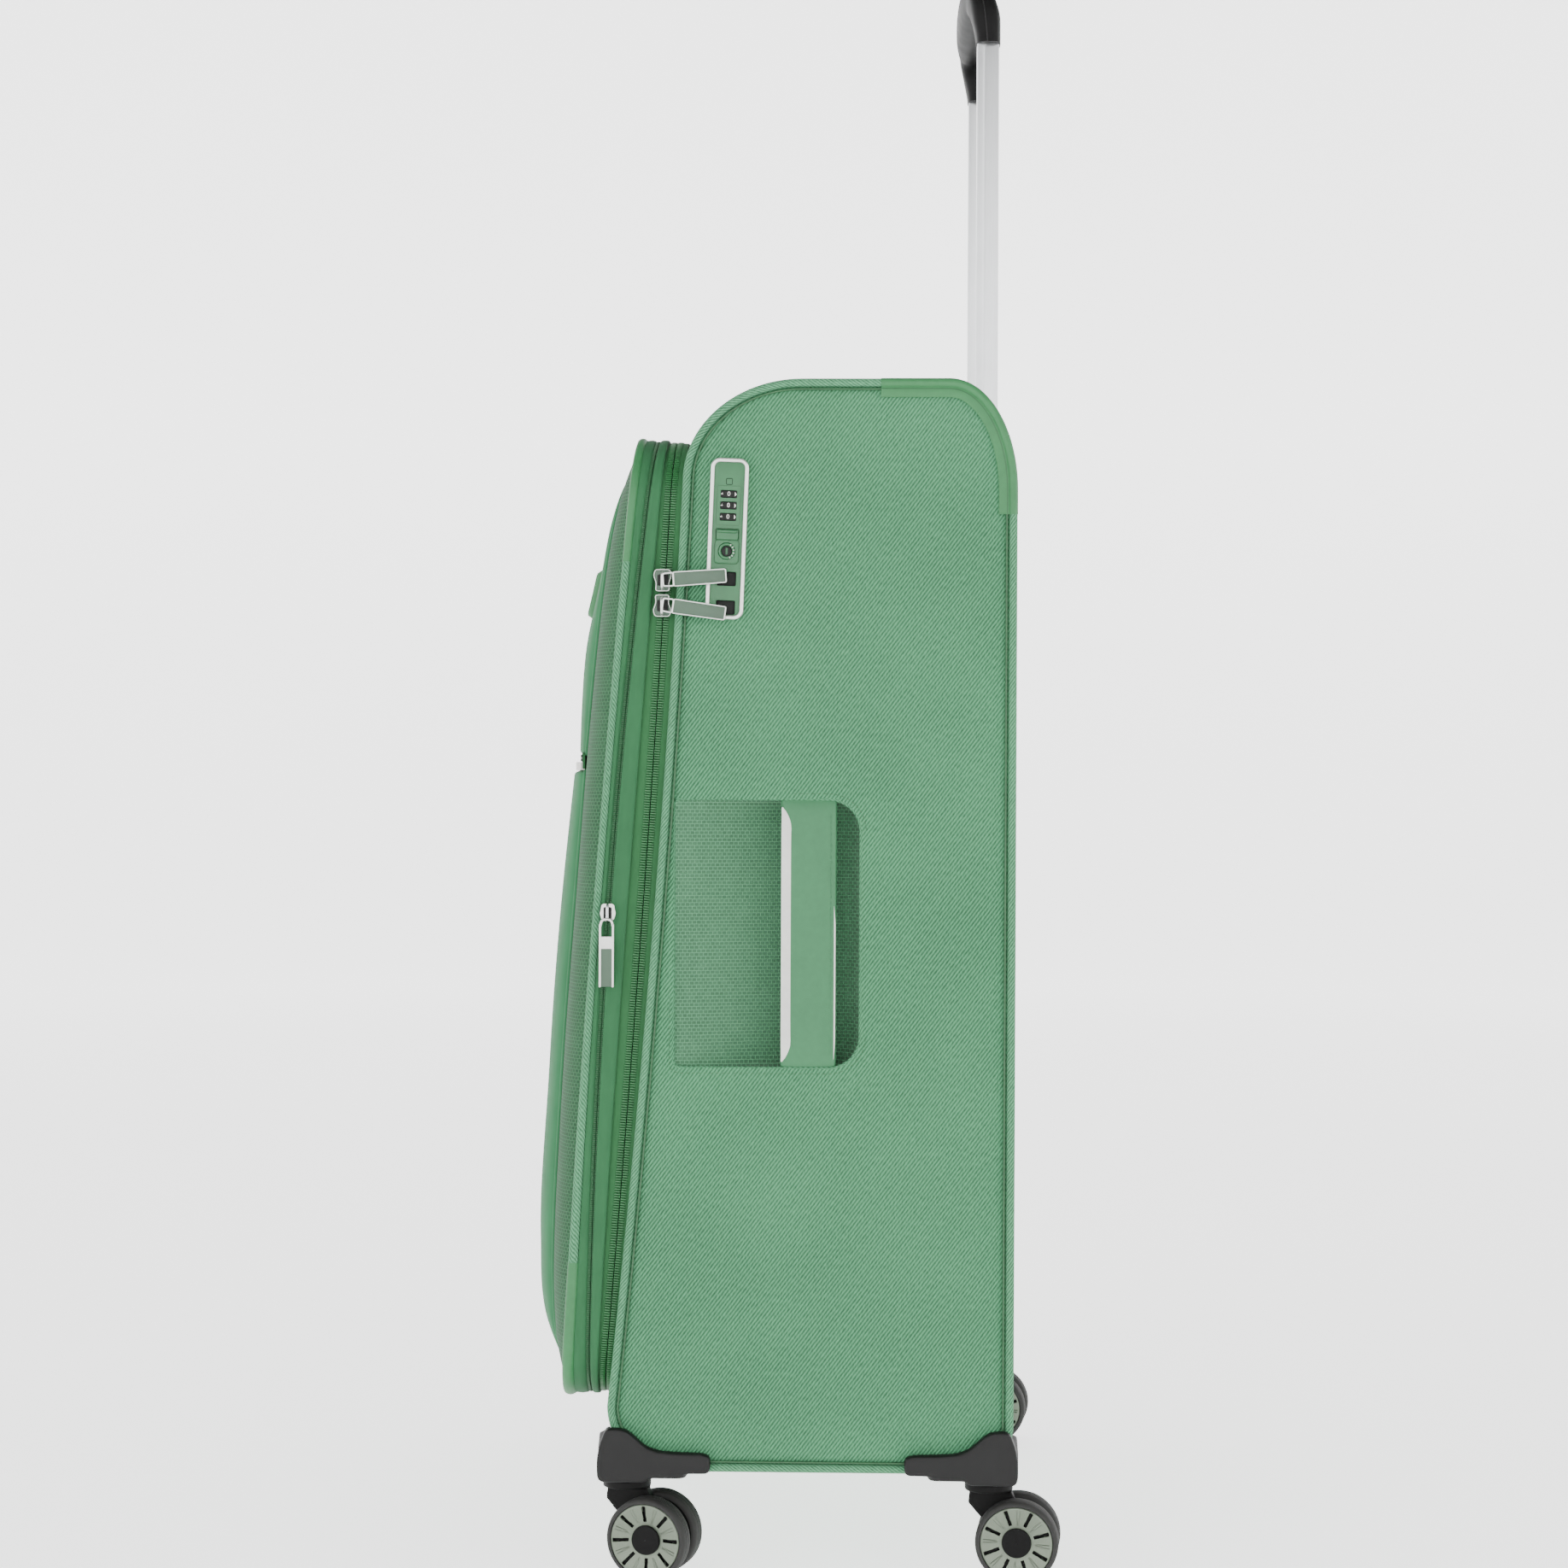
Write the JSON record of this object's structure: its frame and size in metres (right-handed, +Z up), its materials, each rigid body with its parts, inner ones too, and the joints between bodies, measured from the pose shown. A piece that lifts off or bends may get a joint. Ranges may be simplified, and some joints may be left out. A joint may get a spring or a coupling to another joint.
{
  "type": "soft-sided spinner suitcase",
  "caption": "Large soft-sided spinner suitcase: zipped expandable lid with front pockets, side combination lock, carry handles, telescoping pull handle and twin caster wheels.",
  "frame": {"origin": "on the floor, under the middle of the whole case with its handle out", "axes": "+Z up; -Y towards the lid and its pockets; +Y towards the handle tubes; +X towards the side with the lock"},
  "size_m": [0.4846, 0.3457, 1.0695],
  "materials": {
    "twill": "twill weave",
    "piping": "wrapped cord edge",
    "mesh": "raised honeycomb knit",
    "smooth_fabric": "coated, satin",
    "zip_tape": "woven tape",
    "gusset_band": "coated, satin",
    "front_fabric": "fine weave",
    "zip_metal": "polished",
    "puller": "enamel in a metal edge",
    "light_metal": "pale satin metal",
    "lock_plastic": "satin",
    "dial": "gloss",
    "tube_metal": "anodised",
    "black_plastic": "fine grain",
    "steel": "turned",
    "rim": "satin gunmetal",
    "tyre": "matt rubber"
  },
  "bodies": {
    "root": {"body_shell": "twill", "body_piping": "piping", "tag_pocket": "twill", "side_recess": "mesh", "side_handle": "smooth_fabric", "top_handle": "smooth_fabric", "zipper_tape": "zip_tape", "lock_bezel": "light_metal", "lock_case": "lock_plastic", "outer_tubes": "tube_metal", "handle_dock": "black_plastic", "housing_front_right": "black_plastic", "housing_front_left": "black_plastic", "housing_rear_right": "black_plastic", "housing_rear_left": "black_plastic"},
    "trolley": {"inner_tubes": "tube_metal", "grip": "black_plastic"},
    "grip_button": {"grip_button": "black_plastic"},
    "lid_frame": {"zipper_ring": "zip_tape", "expansion_gusset": "zip_tape"},
    "lid": {"lid_gusset": "gusset_band", "lid_piping": "piping", "lid_panel": "mesh", "upper_pocket": "front_fabric", "lower_pocket": "front_fabric"},
    "lock_dial_1": {"lock_dial_1": "dial"},
    "lock_dial_2": {"lock_dial_2": "dial"},
    "lock_dial_3": {"lock_dial_3": "dial"},
    "lock_cylinder": {"lock_cylinder": "dial"},
    "lock_button": {"lock_button": "lock_plastic"},
    "slider_upper": {"slider_upper": "zip_metal"},
    "puller_upper": {"puller_upper": "puller"},
    "slider_lower": {"slider_lower": "zip_metal"},
    "puller_lower": {"puller_lower": "puller"},
    "expansion_slider": {"expansion_slider": "light_metal"},
    "expansion_puller": {"expansion_puller": "light_metal"},
    "fork_front_right": {"fork_front_right": "black_plastic", "axle_front_right": "steel"},
    "wheel_front_right_inner": {"rim_front_right_inner": "rim", "tyre_front_right_inner": "tyre"},
    "wheel_front_right_outer": {"rim_front_right_outer": "rim", "tyre_front_right_outer": "tyre"},
    "fork_front_left": {"fork_front_left": "black_plastic", "axle_front_left": "steel"},
    "wheel_front_left_inner": {"rim_front_left_inner": "rim", "tyre_front_left_inner": "tyre"},
    "wheel_front_left_outer": {"rim_front_left_outer": "rim", "tyre_front_left_outer": "tyre"},
    "fork_rear_right": {"fork_rear_right": "black_plastic", "axle_rear_right": "steel"},
    "wheel_rear_right_inner": {"rim_rear_right_inner": "rim", "tyre_rear_right_inner": "tyre"},
    "wheel_rear_right_outer": {"rim_rear_right_outer": "rim", "tyre_rear_right_outer": "tyre"},
    "fork_rear_left": {"fork_rear_left": "black_plastic", "axle_rear_left": "steel"},
    "wheel_rear_left_inner": {"rim_rear_left_inner": "rim", "tyre_rear_left_inner": "tyre"},
    "wheel_rear_left_outer": {"rim_rear_left_outer": "rim", "tyre_rear_left_outer": "tyre"}
  },
  "joints": [
    {"name": "trolley_slide", "type": "slide", "parent": "root", "child": "trolley", "axis": [0, 0, 1], "range_m": [-0.298, 0]},
    {"name": "grip_button_press", "type": "slide", "parent": "trolley", "child": "grip_button", "axis": [0, 0, -1], "range_m": [0, 0.003], "stiffness_N_per_m": 400, "springref_m": -0.001},
    {"name": "lid_open", "type": "hinge", "parent": "root", "child": "lid_frame", "pos_m": [-0.228, -0.1008, 0.433], "axis": [0, -0.0699, -0.9976], "range_deg": [0, 150]},
    {"name": "lid_expand", "type": "slide", "parent": "lid_frame", "child": "lid", "axis": [0, -1, 0], "range_m": [0, 0.04], "deforming": ["expansion_gusset"]},
    {"name": "dial_1_turn", "type": "hinge", "parent": "root", "child": "lock_dial_1", "pos_m": [0.2272, -0.04386, 0.69598], "axis": [0, 0.0366, 0.9993], "continuous": true},
    {"name": "dial_2_turn", "type": "hinge", "parent": "root", "child": "lock_dial_2", "pos_m": [0.2272, -0.04412, 0.68869], "axis": [0, 0.0366, 0.9993], "continuous": true},
    {"name": "dial_3_turn", "type": "hinge", "parent": "root", "child": "lock_dial_3", "pos_m": [0.2272, -0.04439, 0.68139], "axis": [0, 0.0366, 0.9993], "continuous": true},
    {"name": "key_turn", "type": "hinge", "parent": "root", "child": "lock_cylinder", "pos_m": [0.23, -0.04519, 0.65951], "axis": [1, 0, 0], "range_deg": [0, 90]},
    {"name": "lock_button_press", "type": "slide", "parent": "root", "child": "lock_button", "axis": [-1, 0, 0], "range_m": [0, 0.0018], "stiffness_N_per_m": 600, "springref_m": -0.001},
    {"name": "slider_upper_slide", "type": "slide", "parent": "root", "child": "slider_upper", "axis": [0, 0.0699, 0.9976], "range_m": [0, 0.03]},
    {"name": "slider_lower_slide", "type": "slide", "parent": "root", "child": "slider_lower", "axis": [0, -0.0699, -0.9976], "range_m": [0, 0.38]},
    {"name": "puller_upper_lift", "type": "hinge", "parent": "slider_upper", "child": "puller_upper", "pos_m": [0.238, -0.0828, 0.6411], "axis": [0, 0.0698, -0.9976], "range_deg": [0, 95]},
    {"name": "puller_lower_lift", "type": "hinge", "parent": "slider_lower", "child": "puller_lower", "pos_m": [0.238, -0.083, 0.6248], "axis": [0, -0.1392, -0.9903], "range_deg": [0, 95]},
    {"name": "expansion_slider_slide", "type": "slide", "parent": "lid_frame", "child": "expansion_slider", "axis": [0, -0.066, -0.9978], "range_m": [-0.04, 0.12]},
    {"name": "expansion_puller_lift", "type": "hinge", "parent": "expansion_slider", "child": "expansion_puller", "pos_m": [0.2344, -0.121, 0.424], "axis": [0, -1, 0], "range_deg": [0, 150]},
    {"name": "swivel_front_right", "type": "hinge", "parent": "root", "child": "fork_front_right", "pos_m": [0.212, -0.108, 0.06], "axis": [0, 0, 1], "continuous": true},
    {"name": "roll_front_right_inner", "type": "hinge", "parent": "fork_front_right", "child": "wheel_front_right_inner", "pos_m": [0.21724, -0.08974, 0.0267], "axis": [0.9613, -0.2756, 0], "continuous": true},
    {"name": "roll_front_right_outer", "type": "hinge", "parent": "fork_front_right", "child": "wheel_front_right_outer", "pos_m": [0.21724, -0.08974, 0.0267], "axis": [0.9613, -0.2756, 0], "continuous": true},
    {"name": "swivel_front_left", "type": "hinge", "parent": "root", "child": "fork_front_left", "pos_m": [-0.212, -0.108, 0.06], "axis": [0, 0, 1], "continuous": true},
    {"name": "roll_front_left_inner", "type": "hinge", "parent": "fork_front_left", "child": "wheel_front_left_inner", "pos_m": [-0.21724, -0.08974, 0.0267], "axis": [0.9613, 0.2756, 0], "continuous": true},
    {"name": "roll_front_left_outer", "type": "hinge", "parent": "fork_front_left", "child": "wheel_front_left_outer", "pos_m": [-0.21724, -0.08974, 0.0267], "axis": [0.9613, 0.2756, 0], "continuous": true},
    {"name": "swivel_rear_right", "type": "hinge", "parent": "root", "child": "fork_rear_right", "pos_m": [0.212, 0.1255, 0.06], "axis": [0, 0, 1], "continuous": true},
    {"name": "roll_rear_right_inner", "type": "hinge", "parent": "fork_rear_right", "child": "wheel_rear_right_inner", "pos_m": [0.21399, 0.1444, 0.0267], "axis": [0.9945, -0.1045, 0], "continuous": true},
    {"name": "roll_rear_right_outer", "type": "hinge", "parent": "fork_rear_right", "child": "wheel_rear_right_outer", "pos_m": [0.21399, 0.1444, 0.0267], "axis": [0.9945, -0.1045, 0], "continuous": true},
    {"name": "swivel_rear_left", "type": "hinge", "parent": "root", "child": "fork_rear_left", "pos_m": [-0.212, 0.1255, 0.06], "axis": [0, 0, 1], "continuous": true},
    {"name": "roll_rear_left_inner", "type": "hinge", "parent": "fork_rear_left", "child": "wheel_rear_left_inner", "pos_m": [-0.20936, 0.14431, 0.0267], "axis": [0.9903, -0.1392, 0], "continuous": true},
    {"name": "roll_rear_left_outer", "type": "hinge", "parent": "fork_rear_left", "child": "wheel_rear_left_outer", "pos_m": [-0.20936, 0.14431, 0.0267], "axis": [0.9903, -0.1392, 0], "continuous": true}
  ]
}
